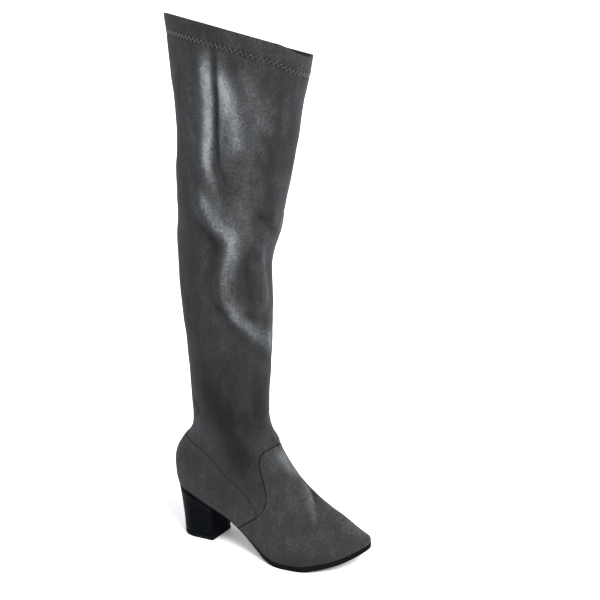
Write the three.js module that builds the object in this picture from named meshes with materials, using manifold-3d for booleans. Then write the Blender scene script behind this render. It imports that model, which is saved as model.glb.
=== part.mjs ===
import * as THREE from 'three';
import * as BufferGeometryUtils from 'three/addons/utils/BufferGeometryUtils.js';
import Module from 'manifold-3d';

// Thigh high boot for the right foot, in millimetres: heel at the origin, toe to +X, inner side +Y, up +Z.
// Stations along the foot are measured from the back of the heel and moved to X by footX.

// Driving sizes of the foot
const FOOT_LENGTH = 245;
const BALL_WIDTH = 83;
const HEEL_HEIGHT = 69;
const TOE_SPRING = 21;
const SOLE_EDGE = 6;
const WAIST_SOLE = 3;
const BALL_WEAR = 0.6;

// Driving sizes of the shaft
const ANKLE_HEIGHT = 150;
const ANKLE_DEPTH = 94;
const ANKLE_BACK = 27;
const SHAFT_HEIGHT = 601.5;
const CALF_DEPTH = 108;
const THIGH_DEPTH = 154;
const THIGH_SWAY = 4;
const COLLAR_FRONT_SLOPE = 0.224;
const COLLAR_SIDE_SLOPE = 0.228;
const COLLAR_ROLL = 4;
const ACHILLES_RISE = 11;

// Walls, gaps and trims
const WALL = 1.6;
const GAP = 0.3;
const OVERLAY = 0.8;
const HEM_HEIGHT = 18;
const HEM_WALL = 0.9;
const INSOLE = 2;
const INSOLE_PLAY = 0.9;
const SOLE_MARGIN = 1;
const SOLE_UNDERCUT = 0.8;
const SOLE_LIP = 0.4;
const WAIST_END = 88;
const BALL_START = 137;

// Heel block and its tip
const HEEL_TIP = 5;
const HEEL_TOP_DEPTH = 58;
const HEEL_TOP_WIDTH = 55;
const HEEL_BASE_DEPTH = 48;
const HEEL_BASE_WIDTH = 41;
const HEEL_ROUND = 0.5;
const HEEL_FRONT_TAPER = 0.1;

// Zip on the inner side
const ZIP_OPENING = 8;
const ZIP_HEIGHT = 214;
const ZIP_TAPE_WIDTH = 17;
const ZIP_TAPE = 0.7;
const COIL_WIDTH = 5;
const COIL_DEPTH = 1.3;
const SLIDER_WIDTH = 7.6;
const SLIDER_LENGTH = 11;
const SLIDER_PLATE = 1.6;
const SLIDER_BAR = 1.2;
const SLIDER_POST = 1.1;
const TAB_LENGTH = 20;
const TAB_WIDTH = 6;
const TAB_PLATE = 1.1;
const HINGE_PLAY = 0.3;
const ZIP_FOOT_TURN = 0.38;
const ZIP_SHAFT_TURN = 0.66;
const ZIP_FOOT_ROW = 1;

// Grid of the upper: columns run from the back round the outer side to the toe,
// and home along the inner side
const OUTER_COLUMNS = 24;
const BEHIND_ZIP = 12;
const BEFORE_ZIP = 11;
const COLUMNS = OUTER_COLUMNS + BEHIND_ZIP + BEFORE_ZIP + 1;
const FOOT_ROWS = 13;
const ROWS = 37;

const colours = {
  suede: { color: 0x4a4b4d, roughness: 0.95, metalness: 0 },
  sole: { color: 0x111214, roughness: 0.5, metalness: 0 },
  heel: { color: 0x0d0f13, roughness: 0.35, metalness: 0 },
  lining: { color: 0x2b2b2d, roughness: 0.9, metalness: 0 },
  zip: { color: 0x1d1e21, roughness: 0.8, metalness: 0 },
  metal: { color: 0x55585c, roughness: 0.35, metalness: 0.9 },
};

// Foot sections: half width and centre as shares of half BALL_WIDTH, lift of the heel,
// spring of the toe, edge of the sole's margin
const footSections = [
  { at: 0.0, half: 0.615, centre: 0.0, lift: 1.0, spring: 0.0, edge: 0.0 },
  { at: 0.1, half: 0.66, centre: 0.0, lift: 0.89, spring: 0.0, edge: 0.0 },
  { at: 0.2, half: 0.68, centre: -0.02, lift: 0.74, spring: 0.0, edge: -0.2 },
  { at: 0.33, half: 0.6, centre: -0.05, lift: 0.5, spring: 0.0, edge: -1.0 },
  { at: 0.45, half: 0.65, centre: -0.09, lift: 0.248, spring: 0.0, edge: -0.8 },
  { at: 0.56, half: 0.86, centre: -0.08, lift: 0.043, spring: 0.0, edge: 0.6 },
  { at: 0.64, half: 0.985, centre: -0.06, lift: 0.0, spring: 0.0, edge: 1.0 },
  { at: 0.72, half: 1.0, centre: -0.02, lift: 0.0, spring: 0.0, edge: 1.0 },
  { at: 0.81, half: 0.87, centre: 0.01, lift: 0.0, spring: 0.16, edge: 1.0 },
  { at: 0.9, half: 0.66, centre: 0.05, lift: 0.0, spring: 0.45, edge: 1.0 },
  { at: 0.96, half: 0.48, centre: 0.09, lift: 0.0, spring: 0.76, edge: 1.0 },
  { at: 1.0, half: 0.42, centre: 0.16, lift: 0.0, spring: 1.0, edge: 1.0 },
];

// Loops of the foot: x and roundings as shares of FOOT_LENGTH, rises as shares of the way up to the ankle
const footLoops = [
  {
    row: 0, back: 0.0, backRise: 0.0, front: 1.0, frontRise: 0.0,
    heelRound: 0.106, toeRound: 0.08, sag: 1.0, foot: 1.0, bulge: 1.0,
  },
  {
    row: 1, back: -0.008, backRise: 0.09, front: 1.0, frontRise: 0.045,
    heelRound: 0.11, toeRound: 0.1, sag: 1.0, foot: 1.0, bulge: 1.02,
  },
  {
    row: 3, back: -0.012, backRise: 0.25, front: 0.975, frontRise: 0.1,
    heelRound: 0.115, toeRound: 0.19, sag: 0.92, foot: 1.0, bulge: 1.02,
  },
  {
    row: 5, back: 0.007, backRise: 0.44, front: 0.9, frontRise: 0.18,
    heelRound: 0.12, toeRound: 0.26, sag: 0.76, foot: 0.95, bulge: 0.98,
  },
  {
    row: 7, back: 0.059, backRise: 0.63, front: 0.775, frontRise: 0.3,
    heelRound: 0.13, toeRound: 0.3, sag: 0.56, foot: 0.84, bulge: 0.97,
  },
  {
    row: 9, back: 0.105, backRise: 0.82, front: 0.654, frontRise: 0.5,
    heelRound: 0.15, toeRound: 0.29, sag: 0.34, foot: 0.6, bulge: 1.0,
  },
  {
    row: 11, back: 0.114, backRise: 1.0, front: 0.55, frontRise: 0.77,
    heelRound: 0.17, toeRound: 0.24, sag: 0.14, foot: 0.25, bulge: 1.0,
  },
];

// Shaft sections, ankle to collar: back as a share of ANKLE_BACK, depth of the size it names,
// width as a share of depth, sway as a share of THIGH_SWAY
const shaftSections = [
  { at: 0.0, back: 1.0, depth: ANKLE_DEPTH, width: 0.78, sway: 0.0 },
  { at: 0.08, back: 1.0, depth: ANKLE_DEPTH * 1.02, width: 0.79, sway: 0.0 },
  { at: 0.2, back: 1.0, depth: CALF_DEPTH * 0.94, width: 0.82, sway: 0.1 },
  { at: 0.33, back: 0.92, depth: CALF_DEPTH, width: 0.84, sway: 0.25 },
  { at: 0.42, back: 0.92, depth: CALF_DEPTH * 1.01, width: 0.84, sway: 0.4 },
  { at: 0.51, back: 1.0, depth: THIGH_DEPTH * 0.79, width: 0.83, sway: 0.5 },
  { at: 0.6, back: 1.13, depth: THIGH_DEPTH * 0.845, width: 0.82, sway: 0.65 },
  { at: 0.78, back: 1.4, depth: THIGH_DEPTH * 0.93, width: 0.81, sway: 0.85 },
  { at: 0.87, back: 1.35, depth: THIGH_DEPTH * 1.01, width: 0.8, sway: 0.95 },
  { at: 1.0, back: 1.2, depth: THIGH_DEPTH * 1.12, width: 0.74, sway: 1.0 },
];

// Heel block levels: back as a share of HEEL_TOP_DEPTH, grow as the share of the way from base to top size
const heelSections = [
  { level: 0.0, back: 0.046, grow: 0.0 },
  { level: 0.4, back: 0.035, grow: 0.28 },
  { level: 0.75, back: 0.018, grow: 0.66 },
  { level: 1.0, back: 0.005, grow: 1.0 },
];

// Seams seen from the side: station as a share of FOOT_LENGTH, height as a share of ANKLE_HEIGHT
const outerVampSeam = [
  { station: 0.62, height: 0.875 },
  { station: 0.535, height: 0.835 },
  { station: 0.514, height: 0.79 },
  { station: 0.517, height: 0.72 },
  { station: 0.538, height: 0.64 },
  { station: 0.562, height: 0.54 },
  { station: 0.567, height: 0.47 },
  { station: 0.552, height: 0.4 },
  { station: 0.516, height: 0.34 },
  { station: 0.457, height: 0.27 },
  { station: 0.39, height: 0.19 },
  { station: 0.35, height: 0.12 },
];
const innerVampSeam = [
  { station: 0.62, height: 0.875 },
  { station: 0.53, height: 0.83 },
  { station: 0.5, height: 0.76 },
  { station: 0.475, height: 0.66 },
  { station: 0.455, height: 0.55 },
  { station: 0.435, height: 0.44 },
  { station: 0.42, height: 0.34 },
  { station: 0.405, height: 0.25 },
  { station: 0.39, height: 0.12 },
];
const outerCounterSeam = [
  { station: -0.1, height: 0.85 },
  { station: 0.04, height: 0.845 },
  { station: 0.12, height: 0.83 },
  { station: 0.176, height: 0.81 },
  { station: 0.22, height: 0.774 },
  { station: 0.271, height: 0.704 },
  { station: 0.304, height: 0.638 },
  { station: 0.346, height: 0.576 },
  { station: 0.416, height: 0.52 },
  { station: 0.455, height: 0.463 },
  { station: 0.5, height: 0.385 },
  { station: 0.5, height: 0.335 },
  { station: 0.445, height: 0.272 },
  { station: 0.378, height: 0.19 },
  { station: 0.338, height: 0.12 },
];
const innerCounterSeam = [
  { station: -0.1, height: 0.85 },
  { station: 0.04, height: 0.845 },
  { station: 0.12, height: 0.82 },
  { station: 0.2, height: 0.75 },
  { station: 0.25, height: 0.65 },
  { station: 0.275, height: 0.5 },
  { station: 0.28, height: 0.36 },
  { station: 0.28, height: 0.12 },
];

function mix(a, b, k) {
  return a + (b - a) * k;
}
const clamp = (value, low, high) => Math.min(high, Math.max(low, value));
const smooth = (k) => clamp(k, 0, 1) ** 2 * (3 - 2 * clamp(k, 0, 1));
const quarter = (k) => Math.sqrt(Math.max(0, 1 - (1 - clamp(k, 0, 1)) ** 2));
// The frame's origin is the centre of the heel's tip
const heelCentre = heelSections[0].back * HEEL_TOP_DEPTH + HEEL_BASE_DEPTH / 2;
const footX = (station) => station - heelCentre;

// A smooth line through one column of a table that never overshoots its rows
function lineThrough(rows, key, column) {
  const steps = rows.slice(1).map((row, i) => (row[column] - rows[i][column]) / (row[key] - rows[i][key]));
  const slopes = rows.map((row, i) => {
    const before = steps[i - 1];
    const after = steps[i];
    if (before === undefined) return after;
    if (after === undefined) return before;
    return before * after <= 0 ? 0 : (2 * before * after) / (before + after);
  });
  return (where) => {
    const x = clamp(where, rows[0][key], rows[rows.length - 1][key]);
    const i = clamp(rows.findIndex((row) => row[key] >= x) - 1, 0, rows.length - 2);
    const span = rows[i + 1][key] - rows[i][key];
    const k = (x - rows[i][key]) / span;
    const rise = (slopes[i] * k * (1 - k) ** 2 - slopes[i + 1] * k * k * (1 - k)) * span;
    return mix(rows[i][column], rows[i + 1][column], k * k * (3 - 2 * k)) + rise;
  };
}

function linesOf(rows, key) {
  const columns = Object.keys(rows[0]).filter((column) => column !== key);
  return Object.fromEntries(columns.map((column) => [column, lineThrough(rows, key, column)]));
}

const footLine = linesOf(footSections, 'at');
const halfWidth = (station) => (footLine.half(station / FOOT_LENGTH) * BALL_WIDTH) / 2;
const centreLine = (station) => (footLine.centre(station / FOOT_LENGTH) * BALL_WIDTH) / 2;
const featherHeight = (station) => {
  const at = station / FOOT_LENGTH;
  return SOLE_EDGE + footLine.lift(at) * (HEEL_HEIGHT - SOLE_EDGE) + footLine.spring(at) * TOE_SPRING;
};
const toeHeight = featherHeight(FOOT_LENGTH);

const shaftLine = linesOf(shaftSections, 'at');
const shaftShare = (z) => (z - ANKLE_HEIGHT) / (SHAFT_HEIGHT - ANKLE_HEIGHT);
const shaftBack = (z) => shaftLine.back(shaftShare(z)) * ANKLE_BACK;
const shaftDepth = (z) => shaftLine.depth(shaftShare(z));
const shaftFront = (z) => shaftBack(z) + shaftDepth(z);
const collarHeight = (station) => SHAFT_HEIGHT - COLLAR_FRONT_SLOPE * footX(station);
const collarBack = { x: shaftBack(SHAFT_HEIGHT), z: collarHeight(shaftBack(SHAFT_HEIGHT)) };
const collarFront = { x: shaftFront(SHAFT_HEIGHT), z: collarHeight(shaftFront(SHAFT_HEIGHT)) };
const ankleBackZ = ANKLE_HEIGHT + ACHILLES_RISE;
const ankleHalf = (ANKLE_DEPTH * shaftSections[0].width) / 2;

function footLoop(loop) {
  return {
    row: loop.row,
    xb: loop.back * FOOT_LENGTH,
    zb: mix(HEEL_HEIGHT, ankleBackZ, loop.backRise),
    xf: loop.front * FOOT_LENGTH,
    zf: mix(toeHeight, ANKLE_HEIGHT, loop.frontRise),
    heelRound: loop.heelRound * FOOT_LENGTH,
    toeRound: loop.toeRound * FOOT_LENGTH,
    sag: loop.sag,
    foot: loop.foot,
    bulge: loop.bulge,
    half: ankleHalf,
    sway: 0,
  };
}

function shaftLoop(row) {
  const k = (row - FOOT_ROWS) / (ROWS - FOOT_ROWS);
  const zb = mix(ankleBackZ + (collarBack.z - ankleBackZ) / (ROWS - FOOT_ROWS), collarBack.z, k);
  const zf = mix(ANKLE_HEIGHT, collarFront.z, k);
  const xb = shaftBack(zb);
  const xf = shaftFront(zf);
  const middle = (zb + zf) / 2;
  return {
    row, xb, zb, xf, zf, heelRound: (xf - xb) / 2, toeRound: (xf - xb) / 2, sag: 0, foot: 0, bulge: 1,
    half: (shaftLine.width(shaftShare(middle)) * (xf - xb)) / 2,
    sway: -THIGH_SWAY * shaftLine.sway(shaftShare(middle)),
  };
}

const shaftRows = Array.from({ length: ROWS - FOOT_ROWS + 1 }, (_, i) => shaftLoop(FOOT_ROWS + i));
const loopLine = linesOf([...footLoops.map(footLoop), ...shaftRows], 'row');

// Point of the boot's outer surface on a loop: turn 0 is the back, PI the front, side -1 outer and 1 inner
function surfacePoint(row, turn, side) {
  const u = (1 - Math.cos(turn)) / 2;
  const xb = loopLine.xb(row);
  const xf = loopLine.xf(row);
  const x = mix(xb, xf, u);
  const foot = loopLine.foot(row);
  const fromBack = quarter((x - xb) / loopLine.heelRound(row));
  const fromFront = quarter((xf - x) / loopLine.toeRound(row));
  const half = mix(loopLine.half(row), halfWidth(x) * loopLine.bulge(row), foot) * fromBack * fromFront;
  const centre = mix(loopLine.sway(row), centreLine(x), foot);
  const y = centre + side * half;
  const sag = featherHeight(u * FOOT_LENGTH) - mix(HEEL_HEIGHT, toeHeight, u);
  const climb = clamp((row - FOOT_ROWS) / (ROWS - FOOT_ROWS), 0, 1);
  const tilt = climb ** 2 * COLLAR_SIDE_SLOPE * y;
  const roll = climb ** 8 * COLLAR_ROLL * smooth((u - 0.94) / 0.06);
  const z = mix(loopLine.zb(row), loopLine.zf(row), u) + sag * loopLine.sag(row) - tilt - roll;
  return new THREE.Vector3(footX(x), y, z);
}

// The zip climbs from the waist to the front of the inner side
const zipTurn = (row) => mix(ZIP_FOOT_TURN, ZIP_SHAFT_TURN, smooth(row / FOOT_ROWS)) * Math.PI;
function zipHalfTurn(row) {
  const step = 0.01;
  const [before, after] = [-step, step].map((turn) => surfacePoint(row, zipTurn(row) + turn, 1));
  const across = after.distanceTo(before);
  return (ZIP_OPENING * step) / across;
}

// Turn and side of a column of the grid at a row
const ZIP_FRONT = OUTER_COLUMNS + BEFORE_ZIP;
const ZIP_BACK = ZIP_FRONT + 1;
function gridPoint(row, column) {
  if (column <= OUTER_COLUMNS) return surfacePoint(row, (Math.PI * column) / OUTER_COLUMNS, -1);
  const frontEdge = zipTurn(row) + zipHalfTurn(row);
  const backEdge = zipTurn(row) - zipHalfTurn(row);
  if (column <= ZIP_FRONT) {
    return surfacePoint(row, mix(Math.PI, frontEdge, (column - OUTER_COLUMNS) / BEFORE_ZIP), 1);
  }
  return surfacePoint(row, mix(backEdge, 0, (column - ZIP_BACK) / BEHIND_ZIP), 1);
}

const grid = Array.from({ length: ROWS + 1 }, (_, row) =>
  Array.from({ length: COLUMNS }, (_, column) => gridPoint(row, column)),
);
const wrap = (column) => ((column % COLUMNS) + COLUMNS) % COLUMNS;
const normals = grid.map((points, row) =>
  points.map((_, column) => {
    const below = grid[Math.max(0, row - 1)][column];
    const above = grid[Math.min(ROWS, row + 1)][column];
    const along = points[wrap(column + 1)].clone().sub(points[wrap(column - 1)]);
    return along.cross(above.clone().sub(below)).normalize();
  }),
);

// Point of the faceted upper between its grid lines, moved out by an offset
function skin(row, column, offset) {
  const r = clamp(Math.floor(row), 0, ROWS - 1);
  const c = Math.floor(column);
  const corner = (dr, dc) => {
    const at = wrap(c + dc);
    return grid[r + dr][at].clone().addScaledVector(normals[r + dr][at], offset);
  };
  const low = corner(0, 0).lerp(corner(0, 1), column - c);
  const high = corner(1, 0).lerp(corner(1, 1), column - c);
  return low.lerp(high, row - r);
}

function solidOf(points, faces) {
  const geometry = new THREE.BufferGeometry();
  const places = points.flatMap((p) => [p.x, p.y, p.z]);
  geometry.setAttribute('position', new THREE.Float32BufferAttribute(places, 3));
  geometry.setIndex(faces.flat());
  return geometry;
}

// A closed wall between an outer and an inner sheet of a grid of cells,
// with a rim wherever a cell has no neighbour
function wallOf(rowCount, columnCount, wraps, outer, inner, keep = () => true) {
  const width = wraps ? columnCount : columnCount + 1;
  const points = [];
  for (const sheet of [outer, inner]) {
    for (let i = 0; i <= rowCount; i += 1) {
      for (let j = 0; j < width; j += 1) points.push(sheet(i, j));
    }
  }
  const back = (rowCount + 1) * width;
  const id = (i, j) => i * width + (wraps ? (j + columnCount) % columnCount : j);
  const kept = (i, j) => {
    if (i < 0 || i >= rowCount) return false;
    if (!wraps && (j < 0 || j >= columnCount)) return false;
    return keep(i, wraps ? (j + columnCount) % columnCount : j);
  };
  const faces = [];
  for (let i = 0; i < rowCount; i += 1) {
    for (let j = 0; j < columnCount; j += 1) {
      if (!kept(i, j)) continue;
      const [a, b, c, d] = [id(i, j), id(i, j + 1), id(i + 1, j + 1), id(i + 1, j)];
      faces.push([a, b, c], [a, c, d]);
      faces.push([a + back, c + back, b + back], [a + back, d + back, c + back]);
      const rims = [
        [a, b, kept(i - 1, j)],
        [b, c, kept(i, j + 1)],
        [c, d, kept(i + 1, j)],
        [d, a, kept(i, j - 1)],
      ];
      for (const [p, q, closed] of rims) {
        if (!closed) faces.push([q, p, p + back], [q, p + back, q + back]);
      }
    }
  }
  return solidOf(points, faces);
}

// A closed block of level outlines, each a list of outer and inner edge points from back to front
function blockOf(levels) {
  const points = levels.flat(2);
  const count = levels[0].length;
  const id = (level, station, side) => (level * count + station) * 2 + side;
  const faces = [];
  const top = levels.length - 1;
  for (let j = 0; j < count - 1; j += 1) {
    for (let level = 0; level < top; level += 1) {
      for (const side of [0, 1]) {
        const [a, b] = [id(level, j, side), id(level, j + 1, side)];
        const [d, c] = [id(level + 1, j, side), id(level + 1, j + 1, side)];
        faces.push(...(side === 0 ? [[a, b, c], [a, c, d]] : [[b, a, d], [b, d, c]]));
      }
    }
    const [a, b, c, d] = [id(top, j, 0), id(top, j + 1, 0), id(top, j + 1, 1), id(top, j, 1)];
    faces.push([a, b, c], [a, c, d]);
    const [e, f, g, h] = [id(0, j, 0), id(0, j + 1, 0), id(0, j + 1, 1), id(0, j, 1)];
    faces.push([f, e, h], [f, h, g]);
  }
  for (const [j, flip] of [[0, true], [count - 1, false]]) {
    for (let level = 0; level < top; level += 1) {
      const [a, b] = [id(level, j, 0), id(level, j, 1)];
      const [d, c] = [id(level + 1, j, 0), id(level + 1, j, 1)];
      faces.push(...(flip ? [[b, a, d], [b, d, c]] : [[a, b, c], [a, c, d]]));
    }
  }
  const merged = BufferGeometryUtils.mergeVertices(solidOf(points, faces), 1e-4);
  const index = Array.from(merged.index.array);
  const full = [];
  for (let i = 0; i < index.length; i += 3) {
    const [a, b, c] = index.slice(i, i + 3);
    if (a !== b && b !== c && a !== c) full.push(a, b, c);
  }
  merged.setIndex(full);
  return merged;
}

const wasm = await Module();
wasm.setup();

function manifoldOf(geometry) {
  const bare = new THREE.BufferGeometry();
  bare.setAttribute('position', geometry.attributes.position);
  bare.setIndex(geometry.index);
  const merged = BufferGeometryUtils.mergeVertices(bare, 1e-4);
  const mesh = new wasm.Mesh({
    numProp: 3,
    vertProperties: new Float32Array(merged.attributes.position.array),
    triVerts: new Uint32Array(merged.index.array),
  });
  return new wasm.Manifold(mesh);
}

function geometryOf(manifold) {
  const mesh = manifold.getMesh();
  const geometry = new THREE.BufferGeometry();
  geometry.setAttribute('position', new THREE.Float32BufferAttribute(Array.from(mesh.vertProperties), 3));
  geometry.setIndex(Array.from(mesh.triVerts));
  return geometry;
}

const boot = new THREE.Group();
function add(name, geometry, finish) {
  const mesh = new THREE.Mesh(geometry, new THREE.MeshStandardMaterial(colours[finish]));
  mesh.name = name;
  boot.add(mesh);
  return mesh;
}

// The upper: one hollow wall, open at the collar, underneath and along the zip
const zipHeight = (row) => skin(row, ZIP_FRONT + 0.5, 0).z;
const zipRows = Array.from({ length: ROWS }, (_, row) => row);
const ZIP_TOP_ROW = zipRows.find((row) => zipHeight(row) >= ZIP_HEIGHT);
const inZip = (row, column) => column === ZIP_FRONT && row >= ZIP_FOOT_ROW && row < ZIP_TOP_ROW;
const sheetOf = (offset, firstRow = 0) => (i, j) => skin(firstRow + i, j, offset);
add(
  'upper',
  wallOf(ROWS, COLUMNS, true, sheetOf(0), sheetOf(-WALL), (row, column) => !inZip(row, column)),
  'suede',
);

// Vamp and counter overlays: a wall just clear of the upper, cut by the seam lines seen from the side
const overlayWall = manifoldOf(
  wallOf(
    FOOT_ROWS + 1, COLUMNS, true, sheetOf(GAP + OVERLAY), sheetOf(GAP),
    (row, column) => column !== ZIP_FRONT || row >= FOOT_ROWS,
  ),
);
const seamPoint = (point) => [footX(point.station * FOOT_LENGTH), point.height * ANKLE_HEIGHT];
function sideCutter(outline, fromY, toY) {
  const shape = new THREE.Shape(outline.map(([x, z]) => new THREE.Vector2(x, z)));
  const geometry = new THREE.ExtrudeGeometry(shape, { depth: toY - fromY, bevelEnabled: false });
  geometry.rotateX(Math.PI / 2);
  geometry.translate(0, toY, 0);
  return manifoldOf(geometry);
}
const REACH = FOOT_LENGTH * 2;
function smoothSeam(seam) {
  const curve = new THREE.SplineCurve(seam.map((point) => new THREE.Vector2(...seamPoint(point))));
  return curve.getPoints(seam.length * 2).map((point) => [point.x, point.y]);
}
const vampOutline = (seam) => {
  const line = smoothSeam(seam);
  return [[REACH, line[0][1]], ...line, [line[line.length - 1][0], -REACH], [REACH, -REACH]];
};
const counterOutline = (seam) => {
  const line = smoothSeam(seam);
  return [[-REACH, line[0][1]], [-REACH, -REACH], [line[line.length - 1][0], -REACH], ...line.reverse()];
};
function overlay(outlineOf, outerSeam, innerSeam) {
  const outer = sideCutter(outlineOf(outerSeam), -BALL_WIDTH, 0);
  const inner = sideCutter(outlineOf(innerSeam), 0, BALL_WIDTH);
  return geometryOf(overlayWall.intersect(outer.add(inner)));
}
add('vamp', overlay(vampOutline, outerVampSeam, innerVampSeam), 'suede');
add('counter', overlay(counterOutline, outerCounterSeam, innerCounterSeam), 'suede');

// The collar's hem, turned in against the wall
const rowHeight = (collarBack.z - ankleBackZ) / (ROWS - FOOT_ROWS);
const hemRow = (i) => ROWS - (HEM_HEIGHT / rowHeight) * (1 - i);
const hemSheet = (offset) => (i, j) => skin(hemRow(i), j, offset);
add('hem', wallOf(1, COLUMNS, true, hemSheet(-WALL - GAP), hemSheet(-WALL - GAP - HEM_WALL)), 'suede');

// Sole, insole, heel and tip share the foot's outline
const PLAN_STEPS = 24;
function planLevel(margin, height, taper = 0) {
  return Array.from({ length: PLAN_STEPS + 1 }, (_, j) => {
    const turn = (Math.PI * j) / PLAN_STEPS;
    const station = ((1 - Math.cos(turn)) / 2) * FOOT_LENGTH;
    const grow = margin(station) - taper;
    const [xb, xf] = [-grow, FOOT_LENGTH + grow];
    const x = mix(xb, xf, station / FOOT_LENGTH);
    const heel = quarter((x - xb) / (footLoops[0].heelRound * FOOT_LENGTH));
    const toe = quarter((xf - x) / (footLoops[0].toeRound * FOOT_LENGTH));
    const half = (halfWidth(x) + grow) * heel * toe;
    const z = height(station);
    return [-1, 1].map((side) => new THREE.Vector3(footX(x), centreLine(x) + side * half, z));
  });
}
const edgeMargin = (station) => footLine.edge(station / FOOT_LENGTH) * SOLE_MARGIN;
const soleTop = (station) => featherHeight(station) - GAP;
const soleThickness = (station) => {
  const share = smooth((station - WAIST_END) / (BALL_START - WAIST_END));
  return mix(WAIST_SOLE, SOLE_EDGE - GAP + BALL_WEAR, share);
};
const soleBottom = (station) => Math.max(0, soleTop(station) - soleThickness(station));
const soleMiddle = (station) => mix(soleBottom(station), soleTop(station), 0.5);
add(
  'outsole',
  blockOf([
    planLevel(edgeMargin, soleBottom, SOLE_UNDERCUT),
    planLevel(edgeMargin, soleMiddle),
    planLevel(edgeMargin, soleTop, SOLE_LIP),
  ]),
  'sole',
);
const insoleMargin = () => -WALL - INSOLE_PLAY;
const insoleBottom = (station) => featherHeight(station);
const insoleTop = (station) => featherHeight(station) + INSOLE;
add(
  'insole',
  blockOf([planLevel(insoleMargin, insoleBottom), planLevel(insoleMargin, insoleTop, INSOLE_PLAY)]),
  'lining',
);

const heelLine = linesOf(heelSections, 'level');
const HEEL_STEPS = 11;
const heelRoof = (station) => soleBottom(station) - GAP;
function heelLevel(level, height) {
  const grow = heelLine.grow(level);
  const depth = mix(HEEL_BASE_DEPTH, HEEL_TOP_DEPTH, grow);
  const half = mix(HEEL_BASE_WIDTH, HEEL_TOP_WIDTH, grow) / 2;
  const back = heelLine.back(level) * HEEL_TOP_DEPTH;
  return Array.from({ length: HEEL_STEPS + 1 }, (_, j) => {
    const x = depth * (1 - Math.cos((Math.PI * j) / 2 / HEEL_STEPS));
    const round = quarter(x / (depth * HEEL_ROUND)) * (1 - HEEL_FRONT_TAPER * (x / depth) ** 2);
    const station = back + x;
    const edge = (side) => centreLine(station) + side * half * round;
    return [-1, 1].map((side) => new THREE.Vector3(footX(station), edge(side), height(station)));
  });
}
const heelFloor = HEEL_TIP + GAP;
const heelLevels = [0, 0.2, 0.4, 0.6, 0.8, 1];
const heelHeight = (level) => (station) => mix(heelFloor, heelRoof(station), level);
add(
  'heel_block',
  blockOf(heelLevels.map((level) => heelLevel(level, heelHeight(level)))),
  'heel',
);
add('heel_tip', blockOf([heelLevel(0, () => 0), heelLevel(0, () => HEEL_TIP)]), 'sole');

// The zip: tape behind the opening, coil in it, slider at its top and the pull tab hung on the slider's bar
const cellWidth = (row, column) => skin(row, column, 0).distanceTo(skin(row, column + 1, 0));
const tapeLap = (ZIP_TAPE_WIDTH - ZIP_OPENING) / 2;
const tapeColumn = (row, j) => {
  if (j === 0) return ZIP_FRONT - tapeLap / cellWidth(row, ZIP_FRONT - 1);
  if (j === 3) return ZIP_BACK + tapeLap / cellWidth(row, ZIP_BACK);
  return j === 1 ? ZIP_FRONT : ZIP_BACK;
};
const tapeRows = ZIP_TOP_ROW - ZIP_FOOT_ROW;
const tapeSheet = (offset) => (i, j) => {
  const row = ZIP_FOOT_ROW + i;
  return skin(row, tapeColumn(row, j), offset);
};
const tapeFace = -WALL - GAP;
add('zip_tape', wallOf(tapeRows, 3, false, tapeSheet(tapeFace), tapeSheet(tapeFace - ZIP_TAPE)), 'zip');
const coilFace = tapeFace + GAP + COIL_DEPTH;
const coilEnd = (GAP * 2) / rowHeight;
const coilSheet = (offset) => (i, j) => {
  const row = clamp(ZIP_FOOT_ROW + i, ZIP_FOOT_ROW + coilEnd * 2, ZIP_TOP_ROW - coilEnd);
  const half = COIL_WIDTH / 2 / cellWidth(row, ZIP_FRONT);
  return skin(row, ZIP_FRONT + 0.5 + (j - 0.5) * 2 * half, offset);
};
add('zip_coil', wallOf(tapeRows, 1, false, coilSheet(coilFace), coilSheet(coilFace - COIL_DEPTH)), 'zip');

const sliderRow = ZIP_TOP_ROW - (SLIDER_LENGTH * 0.6) / rowHeight;
const zipMiddle = ZIP_FRONT + 0.5;
const upright = new THREE.Vector3(0, 0, 1);
const sliderSeat = skin(sliderRow, zipMiddle, coilFace + GAP);
const outward = skin(sliderRow, zipMiddle, 1).sub(skin(sliderRow, zipMiddle, 0)).normalize();
const across = upright.clone().cross(outward).normalize();
const sliderFrame = new THREE.Matrix4()
  .makeBasis(across, outward.clone().cross(across), outward)
  .setPosition(sliderSeat);
const barHeight = SLIDER_PLATE + SLIDER_BAR / 2 + HINGE_PLAY * 2 + TAB_PLATE;
const knuckleRadius = SLIDER_BAR / 2 + HINGE_PLAY + TAB_PLATE * 0.6;
const knuckleWidth = TAB_WIDTH * 0.45;
const postGap = knuckleWidth + HINGE_PLAY * 2;

function plate(width, length, thickness, corner) {
  const [w, l] = [width / 2, length / 2];
  const shape = new THREE.Shape();
  shape.moveTo(-w + corner, -l);
  shape.lineTo(w - corner, -l);
  shape.absarc(w - corner, -l + corner, corner, -Math.PI / 2, 0);
  shape.absarc(w - corner, l - corner, corner, 0, Math.PI / 2);
  shape.absarc(-w + corner, l - corner, corner, Math.PI / 2, Math.PI);
  shape.absarc(-w + corner, -l + corner, corner, Math.PI, Math.PI * 1.5);
  return new THREE.ExtrudeGeometry(shape, { depth: thickness, bevelEnabled: false, curveSegments: 4 });
}
const rod = (radius, length) => new THREE.CylinderGeometry(radius, radius, length, 16).rotateZ(Math.PI / 2);
const box = (x, y, z) => new THREE.BoxGeometry(x, y, z);

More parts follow.
